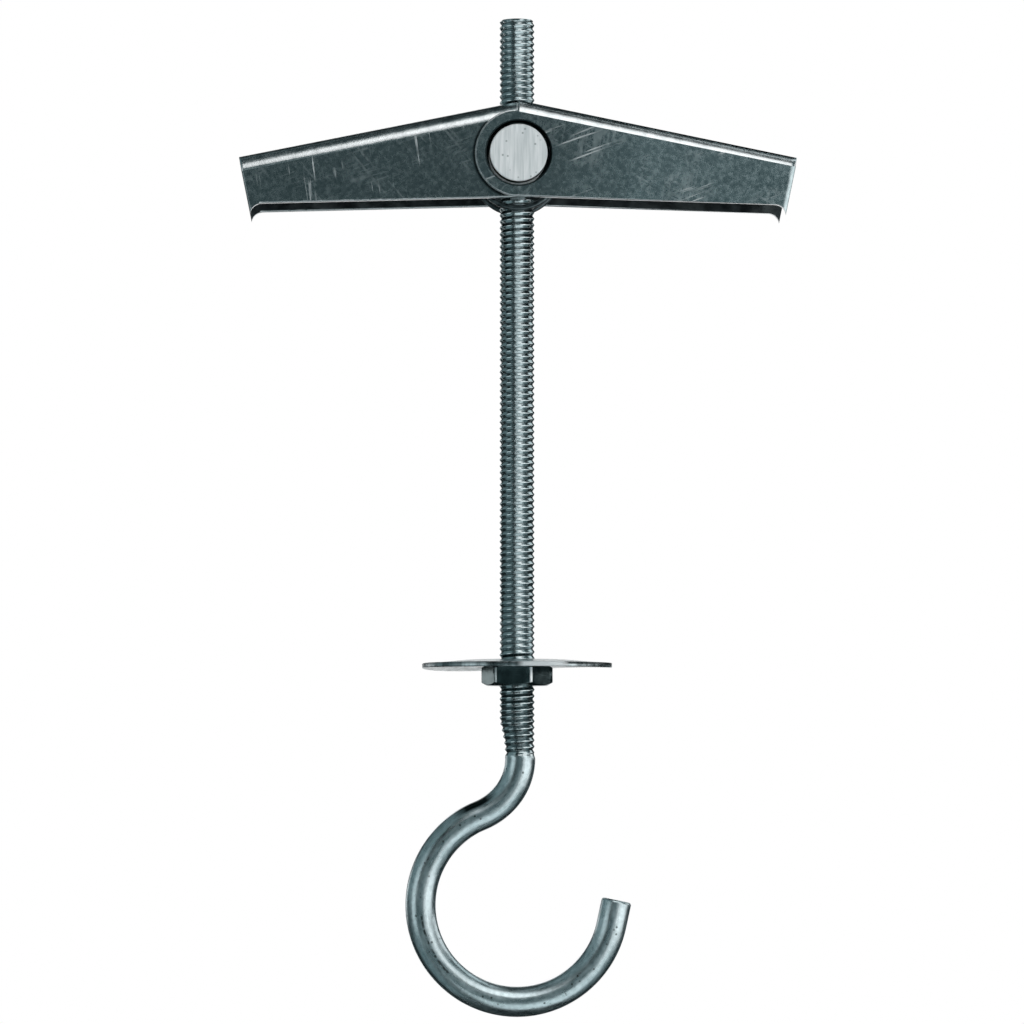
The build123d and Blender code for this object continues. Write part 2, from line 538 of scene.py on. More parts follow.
def pits(place):
    """A few small dark dots."""
    sockets = {"Vector": place, "Scale": 1.3}
    cells = add_node(place.id_data, "ShaderNodeTexVoronoi", sockets).outputs
    dots = ramp(cells["Distance"], 0.1, 0.2, 1.0, 0.0)
    chosen = ramp(cells["Color"], 0.68, 0.7, 0.0, 0.8)
    return multiply(dots, chosen)


# %% Wire and thread materials
def wire_finish():
    """Dull zinc with streaks along the wire, pits, a dark line, and painted shade in the bend."""
    material, shader, place = new_metal("drawn_wire_zinc")
    flow_place = carried(material, "wire_flow")["Vector"]
    streaks = noise(stretched(flow_place, (3.0, 3.0, 0.3)), 1.6, 5.0)
    clouds = noise(place, 2.0)
    shade = ramp(math_node("ADD", streaks, clouds), 0.75, 1.25)
    colour = blend_colours(shade, (0.5, 0.6, 0.62, 1), (0.76, 0.88, 0.91, 1))
    lines = front_line_and_bend_shade(place, flow_place)
    marks = math_node("MAXIMUM", lines, pits(place))
    # The pits, the line and the painted shade in the bend share one dark colour.
    colour = blend_colours(marks, colour, marks_and_shade_dark)
    roughness = ramp(streaks, 0.3, 0.7, 0.24, 0.36)
    grain = noise(place, 3.5, 2.0)
    return finish_metal(material, shader, colour, roughness, grain, fine_grain)


def thread_finish():
    """Bright zinc on the crests and flanks, and painted shade in the roots."""
    material, shader, place = new_metal("rolled_thread_zinc")
    crest = ramp(carried(material, "tooth")["Fac"], 0.0, 0.3)
    clouds = noise(place, 1.3)
    shade = multiply(crest, ramp(clouds, 0.3, 0.7, 0.75, 1.0))
    # Painted shade: the colour runs to near black towards the roots of the thread.
    colour = blend_colours(shade, (0.075, 0.1, 0.105, 1), (0.71, 0.81, 0.83, 1))
    roughness = ramp(crest, 0.0, 1.0, 0.3, 0.15)
    grain = noise(place, 6.0)
    return finish_metal(material, shader, colour, roughness, grain, coarse_grain)


for face in rod.faces:
    face.material_index = 0 if face in thread_faces else 1
make_piece("threaded_hook", rod, "hook_rod", thread_finish(), wire_finish())

# %% [markdown]
# ## The washer
# A wide washer is punched from thin sheet. The punch rounds its edges and leaves the disc a little
# dished and twisted, so that from the side one sees more of its underside on the left than on the
# right. Its section is spun round the rod, the edges are bevelled, and all but the clamped middle
# of the disc is bent. The punch tears the upper part of the rim, which is dark, with painted shade
# that deepens to the right. One stretch of the lower part of the rim carries a painted highlight,
# so the rim's points note their height for the finish.

# %% Spin the washer
washer_low, washer_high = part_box("washer")
washer_radius = washer_high.x
washer_play = 0.3 * mm
bore_radius = crest_radius + washer_play
washer_steps = 120
washer_rings = 8
rim_turn = 60
rim_round = 0.12 * mm


def closed_section(shape, places):
    """A closed row of edges through a few places: its points and its edges."""
    corners = [shape.verts.new(place) for place in places]
    return corners, [shape.edges.new((corners[i - 1], corners[i])) for i in range(len(corners))]


def sharp_edges(shape, angle):
    """The edges where two faces turn by more than an angle in degrees."""
    return [
        edge
        for edge in shape.edges
        if edge.is_manifold and edge.calc_face_angle() > math.radians(angle)
    ]


washer = bmesh.new()
_, (_, lower_side, _, upper_side) = closed_section(
    washer,
    (
        (bore_radius, 0, washer_low.z),
        (washer_radius, 0, washer_low.z),
        (washer_radius, 0, washer_high.z),
        (bore_radius, 0, washer_high.z),
    ),
)
bmesh.ops.subdivide_edges(washer, edges=[lower_side, upper_side], cuts=washer_rings)
bmesh.ops.spin(
    washer,
    geom=washer.verts[:] + washer.edges[:],
    cent=(0, 0, 0),
    axis=(0, 0, 1),
    angle=math.tau,
    steps=washer_steps,
    use_merge=True,
)
bmesh.ops.recalc_face_normals(washer, faces=washer.faces[:])
round_edges(washer, sharp_edges(washer, rim_turn), rim_round, 4)
print("Flat washer:", len(washer.faces), "faces")

# %% Warp the washer
washer_dish = 0.4 * mm
washer_twist = 0.004 / mm
twist_start = 2 * mm
clamped_radius = 4.2 * mm

rim_rise = washer.verts.layers.float.new("rim_rise")
for point in washer.verts:
    x, y = point.co.xy
    if point.co.xy.length > washer_radius - rim_round + weld:
        point[rim_rise] = (point.co.z - washer_low.z) / (washer_high.z - washer_low.z)
    share = smooth((point.co.xy.length - clamped_radius) / (washer_radius - clamped_radius))
    backward = (y + math.hypot(y, twist_start)) / 2
    point.co.z += share * (washer_twist * x * backward - washer_dish)
washer_sag = min(point.co.z for point in washer.verts) - washer_low.z
print("Washer's edge sags in mm:", round(washer_sag / mm, 3))

# %% Washer material
highlight_stretch = (0.4, 4.6)


def washer_finish():
    """Punched zinc, with a dark torn upper rim that has painted shade, and a painted highlight on
    the lower rim.
    """
    material, shader, place = new_metal("punched_washer_zinc")
    clouds = noise(place, 0.45, 5.0)
    lines = noise(stretched(place, (1.0, 1.0, 0.1)), 1.4, 3.0)
    shade = multiply(ramp(lines, 0.38, 0.62, 0.35, 1.0), clouds)
    shade = ramp(shade, 0.15, 0.55)
    colour = blend_colours(shade, (0.22, 0.26, 0.27, 1), (0.68, 0.77, 0.79, 1))
    rim_height = carried(material, "rim_rise")["Fac"]
    rightward = axes(place)["X"]
    # The torn upper part of the rim is dark, with painted shade that deepens to the right.
    torn_rim_and_shade = ramp(rim_height, 0.45, 0.6)
    torn_rim_and_shade = multiply(torn_rim_and_shade, ramp(rightward, -2.0, 6.0, 0.5, 0.9))
    colour = blend_colours(torn_rim_and_shade, colour, (0.03, 0.04, 0.042, 1))
    # Painted highlight: near white and rough on one stretch of the lower part of the rim.
    rim_highlight = ramp(rim_height, 0.0, 0.1)
    rim_highlight = multiply(rim_highlight, window(rightward, *highlight_stretch, 0.8))
    colour = blend_colours(rim_highlight, colour, (0.92, 0.95, 0.96, 1))
    roughness = ramp(clouds, 0.3, 0.7, 0.22, 0.36)
    roughness = math_node("ADD", roughness, multiply(rim_highlight, 0.5))
    grain = noise(place, 7.0)
    return finish_metal(material, shader, colour, roughness, grain, coarse_grain)


make_piece("washer_disc", washer, "washer", washer_finish(), flat_faces=True)

# %% [markdown]
# ## The nut
# The nut is a thin hexagon whose faces are turned to a cone, which leaves curved shoulders on
# its six sides. A boolean with a cone would cut them. Here the hexagon's sides are divided
# finely instead, and each point of its rim is lowered to the cone's height at its own radius.

# %% Ring by ring round the nut
nut_low, nut_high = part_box("hex_nut")
nut_flats = 7.0 * mm
nut_corner_angle = math.radians(-9)
face_share = 0.95
face_radius = face_share * nut_flats / 2
cone_slope = math.tan(math.radians(30))
thread_play = 0.05 * mm
tapped_radius = crest_radius + thread_play
tapped_chamfer = 0.25 * mm
side_cuts = 11

nut = bmesh.new()
bmesh.ops.create_circle(nut, segments=6, radius=nut_flats / math.sqrt(3))
first_corner = max(nut.verts, key=lambda point: point.co.y).co
turn = nut_corner_angle - math.atan2(first_corner.y, first_corner.x)
bmesh.ops.rotate(nut, verts=nut.verts[:], matrix=Matrix.Rotation(turn, 3, "Z"))
bmesh.ops.subdivide_edges(nut, edges=nut.edges[:], cuts=side_cuts)
for point in nut.verts:
    point.co.z = nut_low.z + cone_slope * (point.co.xy.length - face_radius)
rim = nut.edges[:]


def next_ring(shape, ring, radius, height):
    """Extrudes a ring and sets each new point to a radius, or its own for None, and a height."""
    pushed = bmesh.ops.extrude_edge_only(shape, edges=ring)["geom"]
    for point in only_points(pushed):
        own = point.co.xy.length
        point.co.xy *= (radius or own) / own
        point.co.z = height(own)
    return [edge for edge in only_edges(pushed) if edge.is_boundary]


nut_rings = [
    (None, lambda own: nut_high.z - cone_slope * (own - face_radius)),
    (face_radius, lambda own: nut_high.z),
    (tapped_radius + tapped_chamfer, lambda own: nut_high.z),
    (tapped_radius, lambda own: nut_high.z - tapped_chamfer),
    (tapped_radius, lambda own: nut_low.z + tapped_chamfer),
    (tapped_radius + tapped_chamfer, lambda own: nut_low.z),
    (face_radius, lambda own: nut_low.z),
]
last = rim
for radius, height in nut_rings:
    last = next_ring(nut, last, radius, height)
bmesh.ops.bridge_loops(nut, edges=last + rim)
bmesh.ops.recalc_face_normals(nut, faces=nut.faces[:])
print("Nut with sharp edges:", len(nut.faces), "faces")

# %% [markdown]
# A plated nut has no knife edges. The six corners get a wide round, rubbed bare, which catches
# the light as a bright line, and the other edges a narrow one. The rest of the nut has a plain
# finish, only clouds of colour and roughness, which some of the later pieces use too.

# %% Round the nut's edges
corner_turn = 40
corner_round = 0.2 * mm
edge_turn = 24
edge_round = 0.05 * mm
upright_share = 0.99

upright = [
    edge
    for edge in sharp_edges(nut, corner_turn)
    if abs((edge.verts[0].co - edge.verts[1].co).normalized().z) > upright_share
    and edge.verts[0].co.xy.length > face_radius
]
for face in round_edges(nut, upright, corner_round, 4):
    face.material_index = 1
round_edges(nut, sharp_edges(nut, edge_turn), edge_round, 2)
print("Nut corners rounded:", len(upright), "faces:", len(nut.faces))


# %% A plain plated finish, for the nut
def plain_finish(name, dark, pale, rough, scale):
    """A metal with only clouds of colour and roughness."""
    material, shader, place = new_metal(name)
    clouds = noise(place, scale)
    shade = ramp(clouds, 0.35, 0.65)
    colour = blend_colours(shade, (*dark, 1), (*pale, 1))
    roughness = ramp(clouds, 0.3, 0.7, *rough)
    grain = noise(place, 6.0)
    return finish_metal(material, shader, colour, roughness, grain, coarse_grain)


nut_zinc = plain_finish(
    "plated_nut_zinc", (0.09, 0.13, 0.135), (0.16, 0.215, 0.22), rough=(0.12, 0.2), scale=0.8
)
bare_edge = plain_finish(
    "bare_edge", (0.7, 0.74, 0.75), (0.88, 0.91, 0.92), rough=(0.25, 0.4), scale=1.5
)
make_piece("thin_nut", nut, "hex_nut", nut_zinc, bare_edge, flat_faces=True)

# %% [markdown]
# ## The wings
# Each wing is a strip of sheet folded to a channel, with an ear at one end for the pin and small
# spikes at the other that grip the ceiling board. The CAD model has that outline exactly, so a
# copy of its mesh is the start. Its triangles are merged and flat ones dissolved, and then the
# folds are made rounder, the outer end is curled in and the sheared edges are softened, as a
# press leaves them.

# %% Helper to work on a copy of a CAD node
pivot_low, pivot_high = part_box("trunnion")
pivot = (pivot_low + pivot_high) / 2
flat_angle = math.radians(0.5)


def node_copy(node):
    """A CAD node's mesh as a bmesh, merged and with its flat triangles dissolved."""
    shape = bmesh.new()
    shape.from_mesh(frame["nodes"][node].data)
    bmesh.ops.remove_doubles(shape, verts=shape.verts[:], dist=weld)
    bmesh.ops.dissolve_limit(
        shape, angle_limit=flat_angle, verts=shape.verts[:], edges=shape.edges[:]
    )
    return shape


# %% Where a face lies on a wing
web_slope = math.radians(11.5)
web_top = 5.85 * mm
sheet = 0.75 * mm
inside_depth = 1.5 * sheet
skin_depth = 0.9 * sheet
hole_radius = 3.55 * mm
hole_slack = 0.1 * sheet
# How far a normal points across the wing on a cut edge and on a flat wall, and up on a fold.
across_cut, across_wall, up_fold = 0.05, 0.999, 0.03
sheet_look, cut_look, inside_look, fold_look, hole_look = range(5)


def along_wing(point, side):
    """How far a point is out along a wing's web, and how far below the web's upper face."""
    out = side * (point.x - pivot.x)
    up = point.z - pivot.z
    run = out * math.cos(web_slope) - up * math.sin(web_slope)
    return run, web_top - out * math.sin(web_slope) - up * math.cos(web_slope)


def wing_look(face, side, low, high):
    """The finish of a face, told by where it lies and which way it points."""
    centre = face.calc_center_median()
    before = centre + face.normal * sheet
    across = abs(face.normal.y)
    up = face.normal.x * side * math.sin(web_slope) + face.normal.z * math.cos(web_slope)
    between = low + inside_depth < before.y < high - inside_depth
    if between and along_wing(before, side)[1] > inside_depth:
        return inside_look
    if across_cut < across < across_wall and up > up_fold:
        return fold_look
    if across >= across_cut or min(centre.y - low, high - centre.y) >= skin_depth:
        return sheet_look
    in_hole = (centre - pivot).xz.length < hole_radius + hole_slack
    return hole_look if in_hole else cut_look


# %% Round the folds and the edges of a wing
wing_length = 30.4 * mm
fold_radius = 1.15 * mm
seen_fold_radius = 1.8 * mm
fold_slack = 0.02 * mm
end_cuts = 6
curl_slack = 0.03 * mm
sheared_turn = 60
sheared_round = 0.18 * mm


def widen_folds(shape, side, walls, up):
    """Moves the points of the folds out to a wider round."""
    grow = seen_fold_radius / fold_radius
    for point in shape.verts:
        depth = along_wing(point.co, side)[1]
        for wall, inward in walls:
            inset = inward * (point.co.y - wall)
            reach = math.hypot(fold_radius - inset, fold_radius - depth)
            on_fold = abs(reach - fold_radius) < fold_slack
            if inset < fold_radius and depth < fold_radius and on_fold:
                point.co.y = wall + inward * inset * grow
                point.co -= up * depth * (grow - 1)


def curl_end(shape, side, walls, up, end_round):
    """Cuts the outer end across a few times and curls its corners in."""
    outward = Vector((up.z * side, 0, -up.x * side))
    for count in range(end_cuts):
        inset = end_round * (1 - math.sin(math.pi / 2 * count / end_cuts))
        bmesh.ops.bisect_plane(
            shape,
            geom=whole(shape),
            dist=weld,
            plane_co=pivot + outward * (wing_length - inset) + up * web_top,
            plane_no=outward,
        )
    for point in shape.verts:
        run, depth = along_wing(point.co, side)
        from_end = wing_length - run
        for wall, inward in walls:
            inset = inward * (point.co.y - wall)
            below = seen_fold_radius - min(depth, seen_fold_radius)
            reach = math.hypot(seen_fold_radius - inset, below)
            if from_end < end_round and abs(reach - seen_fold_radius) < curl_slack:
                curl = end_round - math.sqrt(max(0, end_round**2 - (end_round - from_end) ** 2))
                point.co.y += inward * curl * max(0, 1 - inset / seen_fold_radius) ** 2


def soften_cuts(shape, side, end_round):
    """Rounds the sheared edges, all but those at the curled end."""
    before_end = wing_length - end_round - sheet
    cut_edges = [
        edge
        for edge in sharp_edges(shape, sheared_turn)
        if all(along_wing(point.co, side)[0] < before_end for point in edge.verts)
    ]
    for face in round_edges(shape, cut_edges, sheared_round, 2):
        centre = face.calc_center_median() - pivot
        in_hole = centre.xz.length < hole_radius + sheared_round
        face.material_index = hole_look if in_hole else cut_look


# %% Make the two wings
end_rounds = {"wing_left": 0.2 * mm, "wing_right": 0.6 * mm}


def make_wing(node, side):
    """A wing with wide folds, a curled end and soft edges."""
    shape = node_copy(node)
    low, high = (corner.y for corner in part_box(node))
    walls = ((low, 1), (high, -1))
    up = Vector((side * math.sin(web_slope), 0, math.cos(web_slope)))
    widen_folds(shape, side, walls, up)
    curl_end(shape, side, walls, up, end_rounds[node])
    for face in shape.faces:
        face.material_index = wing_look(face, side, low, high)
    soften_cuts(shape, side, end_rounds[node])
    bmesh.ops.remove_doubles(shape, verts=shape.verts[:], dist=weld)
    return shape


wings = {"wing_left": -1, "wing_right": 1}
wing_shapes = {node: make_wing(node, side) for node, side in wings.items()}
print("Wing faces:", {node: len(shape.faces) for node, shape in wing_shapes.items()})

# %% [markdown]
# ### Finish of the wings
# The sheet was dull when it was stamped, and handling has scratched it since. A scratch shows
# bright on a dark face because its rough bottom catches light from every side. Long thin waves of
# noise, cut off near their tops, make such lines, and a second noise leaves gaps in them. The
# sheared edges are bare and the folds burnished, both of them bright. The flat faces carry painted
# light, paler on the right wing and towards its outer end, and the left wing a painted shadow round
# the ear on it. The inside of the channel is painted darker as shade, and the hole is painted black
# as shade in the gap round the pin.

# %% Wing materials
scratch_stretch = (0.13, 1.0, 3.4)
ear_radius = 4.85
ear_shadow_width = 0.12


def scratches(place, turn, finest):
    """A mask of thin curved lines that run at an angle from the wing's length."""
    lined = stretched(place, scratch_stretch, (0, math.radians(turn), 0))
    lines = ramp(noise(lined, 1.0, 1.0, 0.4), finest, finest + 0.06)
    gaps = ramp(noise(place, 0.2, 2.0), 0.5, 0.6)
    return multiply(lines, gaps)


def from_pivot(place):
    """The distance from the pin's axis."""
    tree = place.id_data
    for operation, value in (("SUBTRACT", pivot / mm), ("MULTIPLY", (1, 0, 1))):
        sockets = {0: place, 1: value}
        node = add_node(tree, "ShaderNodeVectorMath", sockets, operation=operation)
        place = node.outputs["Vector"]
    length = add_node(tree, "ShaderNodeVectorMath", {0: place}, operation="LENGTH")
    return length.outputs["Value"]


def wing_finish(name, near_light, far_light, faint_turns, deep_turns, ear_shadow=0.0):
    """Dull stamped zinc with faint and deep scratches, painted paler away from the pin as light,
    and a painted shadow round an ear on top.
    """
    material, shader, place = new_metal(name)
    distance = from_pivot(place)
    clouds = noise(place, 0.3, 5.0)
    mottle = noise(place, 2.2, 3.0)
    shade = ramp(math_node("ADD", multiply(clouds, 0.6), mottle), 0.55, 1.05)
    colour = blend_colours(shade, (0.45, 0.55, 0.57, 1), (0.75, 0.88, 0.9, 1))
    # Painted light: a factor darkens the colour, rising from near_light by the pin to far_light
    # further out.
    light = ramp(distance, 5.0, 14.0, near_light, far_light)
    colour = blend_colours(light, (0, 0, 0, 1), colour)
    marks = None
    for turns, finest, strength in ((faint_turns, 0.58, 0.2), (deep_turns, 0.64, 1.0)):
        for turn in turns:
            mask = multiply(scratches(place, turn, finest), strength)
            marks = mask if marks is None else math_node("MAXIMUM", marks, mask)
    colour = blend_colours(marks, colour, (0.8, 0.84, 0.85, 1))
    if ear_shadow:
        # Painted shadow: a thin dark ring on the left wing, round the edge of the right wing's ear
        # that lies on it.
        line = window(distance, ear_radius, ear_radius + ear_shadow_width, 0.2)
        colour = blend_colours(multiply(line, ear_shadow), colour, (0.01, 0.015, 0.015, 1))
    roughness = ramp(mottle, 0.3, 0.7, 0.2, 0.3)
    roughness = math_node("ADD", roughness, multiply(marks, 0.3))
    return finish_metal(material, shader, colour, roughness, mottle, fine_grain)


fold_zinc = plain_finish(
    "burnished_fold", (0.6, 0.64, 0.65), (0.84, 0.88, 0.89), rough=(0.18, 0.26), scale=0.9
)
# Painted shade: the inside of the channel is given a dark grey.
wing_inside_shade = plain_finish(
    "wing_inside_shade", (0.07, 0.08, 0.085), (0.15, 0.17, 0.175), rough=(0.3, 0.5), scale=0.6
)
# Painted shade: the walls of the ear holes, and the pin's cheeks, are near black as shade in the
# gap round the pin.
gap_shade = plain_finish(
    "gap_shade", (0.015, 0.025, 0.027), (0.035, 0.05, 0.053), rough=(0.3, 0.45), scale=0.9
)
# The two wings are one finish lit differently by painted light: the right wing paler, most of all
# at its outer end.
wing_looks = {
    "wing_left": wing_finish(
        "stamped_zinc_left",
        near_light=0.46,
        far_light=0.5,
        faint_turns=(20, -50),
        deep_turns=(-82,),
        ear_shadow=0.9,
    ),
    "wing_right": wing_finish(
        "stamped_zinc_right",
        near_light=0.56,
        far_light=0.92,
        faint_turns=(-25, 40, 80),
        deep_turns=(20,),
    ),
}
for node, shape in wing_shapes.items():
    looks = (wing_looks[node], bare_edge, wing_inside_shade, fold_zinc, gap_shade)
    make_piece("sprung_" + node, shape, node, *looks, flat_faces=True)

# %% [markdown]
# ## The cross pin
# The wings turn on a plain steel pin whose turned ends stand a little proud of them. The rod
# passes through a tapped hole in its middle. The CAD shape is right, so a copy of it only gets
# the edges of its ends rounded.

# %% Round the pin's ends
pin_turn = 30
pin_round = 0.05 * mm
end_depth = 0.2 * mm

pin = node_copy("trunnion")
pin_ends = [
    edge
    for edge in sharp_edges(pin, pin_turn)
    if all(abs(point.co.y) > pivot_high.y - end_depth for point in edge.verts)
]
round_edges(pin, pin_ends, pin_round, 2)
print("Pin edges rounded:", len(pin_ends))

# %% [markdown]
# Inside the wings the pin has two raised cheeks, left and right of the rod, that keep the ears
# from tilting. They fill the view through the gap round the pin. Each is a small oblong, spun
# through a little more than a right angle about the pin's axis.

# %% Add the cheeks
cheek_inner = 3.1 * mm
cheek_outer = 3.62 * mm
cheek_half_width = 1.0 * mm
cheek_half_angle = math.radians(50)
cheek_steps = 20

barrel_faces = set(pin.faces)
for side in (1, -1):
    oblong = (
        (side * cheek_inner, -cheek_half_width, 0),
        (side * cheek_outer, -cheek_half_width, 0),
        (side * cheek_outer, cheek_half_width, 0),
        (side * cheek_inner, cheek_half_width, 0),
    )
    corners, section = closed_section(pin, [pivot + Vector(corner) for corner in oblong])
    turn = Matrix.Rotation(-cheek_half_angle, 3, "Y")
    bmesh.ops.rotate(pin, verts=corners, cent=pivot, matrix=turn)
    last = turn_ring(pin, section, pivot, (0, 1, 0), 2 * cheek_half_angle, cheek_steps)
    for end in (section, last):
        bmesh.ops.edgenet_fill(pin, edges=end)
bmesh.ops.recalc_face_normals(pin, faces=pin.faces[:])
# The cheeks take the second finish, painted black as shade in the gap.
for face in pin.faces:
    face.material_index = 0 if face in barrel_faces else 1
print("Pin faces with cheeks:", len(pin.faces))

# %% [markdown]
# The ends of the pin keep the fine lines that a cutting tool leaves. Where it turns in the ears it
# is painted black as shade in the gap, and so are the cheeks. A window on the distance along the
# pin parts the two.

# %% Pin material
pin_end = pivot_high.y / mm
shaded_barrel_length = 1.75
end_margin = 0.16
barrel_shade_black = (0.012, 0.02, 0.022, 1)


def pin_finish():
    """Pale turned steel, painted black as shade inside the ears, but for its ends."""
    material, shader, place = new_metal("turned_pin_zinc")
    shader.inputs["Metallic"].default_value = 0.75
    brushed = noise(stretched(place, (4.0, 0.5, 0.3)), 1.0)
    clouds = noise(place, 0.6)
    shade = ramp(brushed, 0.3, 0.7)
    colour = blend_colours(shade, (0.72, 0.77, 0.78, 1), (0.93, 0.96, 0.97, 1))
    colour = blend_colours(pits(place), colour, (0.4, 0.45, 0.46, 1))
    from_middle = math_node("ABSOLUTE", axes(place)["Y"])
    # Painted shade: black along the barrel where it sits inside the ears.
    barrel_shade = window(from_middle, pin_end - shaded_barrel_length, pin_end - end_margin, 0.03)
    colour = blend_colours(barrel_shade, colour, barrel_shade_black)
    roughness = ramp(clouds, 0.3, 0.7, 0.7, 0.8)
    return finish_metal(material, shader, colour, roughness, brushed, coarse_grain)


make_piece("cross_pin", pin, "trunnion", pin_finish(), gap_shade, flat_faces=True)

# %% [markdown]
# ## The torsion spring
# One wire makes the spring: a bridge under the right wing, a leg to a coil on each side of the rod,
# and a tail from each coil under the left wing. The wire's section is spun into a coil, and like
# rings at its two ends are pushed out to a tail and a leg. The coils stay on the pin, and the legs
# are pieces of their own. One half is made, and mirrored to the other side of the rod.

# %% Sizes of the spring
spring_radius = 0.325 * mm
coil_radius = 4.725 * mm
coil_drop = 1.15 * mm
coil_near = 2.335 * mm
coil_pitch = 0.67 * mm
coil_start = math.radians(83.9)
leg_length = 12.27 * mm
leg_bend = 0.9 * mm
wire_sides = 14
coil_steps = 72
leg_steps = 24
bend_pieces = 10

coil_centre = Vector((0, -coil_near, pivot.z - coil_drop))
coil_angle = math.tau + math.pi - 2 * coil_start
coil_lead = coil_pitch / math.tau / coil_radius
print("Turns of a coil:", round(coil_angle / math.tau, 2))


# %% Helpers for the spring's wire
def wire_ring(shape, angle):
    """A ring of the spring's wire, where the coil is at an angle."""
    depth = coil_pitch * (angle - coil_start) / math.tau
    circle = bmesh.ops.create_circle(shape, segments=wire_sides, radius=spring_radius)["verts"]
    place = Vector((math.cos(angle), 0, math.sin(angle))) * coil_radius
    turn = Matrix.Rotation(math.pi - angle, 4, "Y")
    move = Matrix.Translation(coil_centre + place - Vector((0, depth, 0)))
    bmesh.ops.transform(shape, verts=circle, matrix=move @ turn)
    return list(dict.fromkeys(edge for point in circle for edge in point.link_edges))


def close_and_mirror(shape):
    """Caps the open ends, mirrors the shape to the rod's other side and turns all faces out."""
    ends = [
        edge
        for edge in shape.edges
        if edge.is_boundary and any(abs(point.co.y) > weld for point in edge.verts)
    ]
    bmesh.ops.holes_fill(shape, edges=ends)
    bmesh.ops.mirror(shape, geom=whole(shape), axis="Y", merge_dist=weld)
    bmesh.ops.remove_doubles(shape, verts=shape.verts[:], dist=weld)
    bmesh.ops.recalc_face_normals(shape, faces=shape.faces[:])
    return shape


def push_leg(shape, ring, way):
    """Pushes a ring out to the length of a leg, in short steps."""
    for _ in range(leg_steps):
        ring = push_ring(shape, ring, way * (leg_length / leg_steps))
    return ring


# %% Wind the coils and push out the tails
coils = bmesh.new()
turn_ring(
    coils,
    wire_ring(coils, coil_start),
    coil_centre,
    (0, -1, 0),
    coil_angle,
    coil_steps,
    (0, -coil_pitch * coil_angle / math.tau / coil_steps, 0),
)
close_and_mirror(coils)

tails = bmesh.new()
coil_end = coil_start + coil_angle
tail_way = Vector((-math.sin(coil_end), -coil_lead, math.cos(coil_end)))
push_leg(tails, wire_ring(tails, coil_end), tail_way)
close_and_mirror(tails)
print("Coil faces:", len(coils.faces), "tail faces:", len(tails.faces))

# %% Bend the bridge
bridge = bmesh.new()
leg_way = Vector((math.sin(coil_start), coil_lead, -math.cos(coil_start)))
ring = push_leg(bridge, wire_ring(bridge, coil_start), leg_way)
ring_centre = sum((point.co for point in points_of(ring)), Vector()) / len(points_of(ring))
corner_axis = leg_way.cross(Vector((0, 1, 0)))
corner_centre = ring_centre + Vector((0, leg_bend, 0))
ring = turn_ring(bridge, ring, corner_centre, corner_axis, math.pi / 2, bend_pieces)
across = -max(point.co.y for point in points_of(ring))
push_ring(bridge, ring, (0, across, 0))
print("Bridge reaches in mm:", round(max(point.co.x for point in bridge.verts) / mm, 2))
close_and_mirror(bridge)

# %% [markdown]
# The coils ride on the pin, and the bridge and the tails on no body. The wire has the plain finish
# in a dark grey, painted as shade under the wings.

# %% Spring material and pieces
# Painted shade: the spring wire is given a dark grey, as the shade under the wings.
shaded_spring_zinc = plain_finish(
    "drawn_spring_wire", (0.06, 0.075, 0.08), (0.2, 0.24, 0.25), rough=(0.25, 0.4), scale=1.1
)
make_piece("spring_coils", coils, "torsion_spring", shaded_spring_zinc)
for name, shape, wing, side in (
    ("spring_bridge", bridge, "wing_right", 1),
    ("spring_tails", tails, "wing_left", -1),
):
    piece = make_piece(name, shape, "torsion_spring", shaded_spring_zinc, rides=False)
    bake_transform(piece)

# %% [markdown]
# ## The studio
# Shiny metal shows what stands around it more than the lamps that light it. The room is plain
# white, and cards from black to nearly white stand in it as a photographer would set them: dark
# ones round the lens, which keep the flat faces dark, and dark and pale ones all round, which
# draw lines along the round edges. They show in reflections alone, and are hidden from the
# camera. The low ones stand nearer than the rest, above the floor.

# %% White room and cards
scene.view_settings.view_transform = "Standard"

world = bpy.data.worlds.new("white_room")
world.use_nodes = True
room_light = world.node_tree.nodes["Background"].inputs
room_light["Color"].default_value = (1, 1, 1, 1)
room_light["Strength"].default_value = 1.0
scene.world = world

card_cuts = 12
card_distance = 0.9
low_card_distance = 0.45
low_rise = -26
studio_centre = Vector((0, 0, view_centre.z))
dark_tint = Vector((0.66, 1.0, 1.07))
pale_tint = Vector((0.95, 1.0, 1.01))


def from_camera(turn, rise):
    """The direction to a place in the room, in degrees right of the camera and up."""
    turn, rise = math.radians(turn), math.radians(rise)
    level = math.cos(rise)
    return Vector((math.sin(turn) * level, -math.cos(turn) * level, math.sin(rise)))


def paper(name, grey):
    """A paper that looks equally grey from everywhere."""
    material, shader = new_material(name)
    shader.inputs["Base Color"].default_value = (0, 0, 0, 1)
    shader.inputs["Specular IOR Level"].default_value = 0.0
    shader.inputs["Emission Color"].default_value = (*dark_tint.lerp(pale_tint, min(1, grey)), 1)
    shader.inputs["Emission Strength"].default_value = grey
    return material


def set_up(name, shape, material):
    """A thing of the studio from a bmesh, which isn't part of the object."""
    mesh = bpy.data.meshes.new(name)
    shape.to_mesh(mesh)
    shape.free()
    mesh.materials.append(material)
    thing = bpy.data.objects.new(name, mesh)
    scene.collection.objects.link(thing)
    return thing


def card(name, turns, rises, grey):
    """A curved card between two angles to the side and two angles up."""
    distance = low_card_distance if rises[1] <= low_rise else card_distance
    shape = bmesh.new()
    bmesh.ops.create_grid(shape, x_segments=card_cuts, y_segments=card_cuts, size=0.5)
    for point in shape.verts:
        turn = turns[0] + (turns[1] - turns[0]) * (point.co.x + 0.5)
        rise = rises[0] + (rises[1] - rises[0]) * (point.co.y + 0.5)
        point.co = studio_centre + from_camera(turn, rise) * distance
    screen = set_up(name, shape, paper(name, grey))
    screen.visible_camera = False
    screen.visible_diffuse = False
    screen.visible_shadow = False


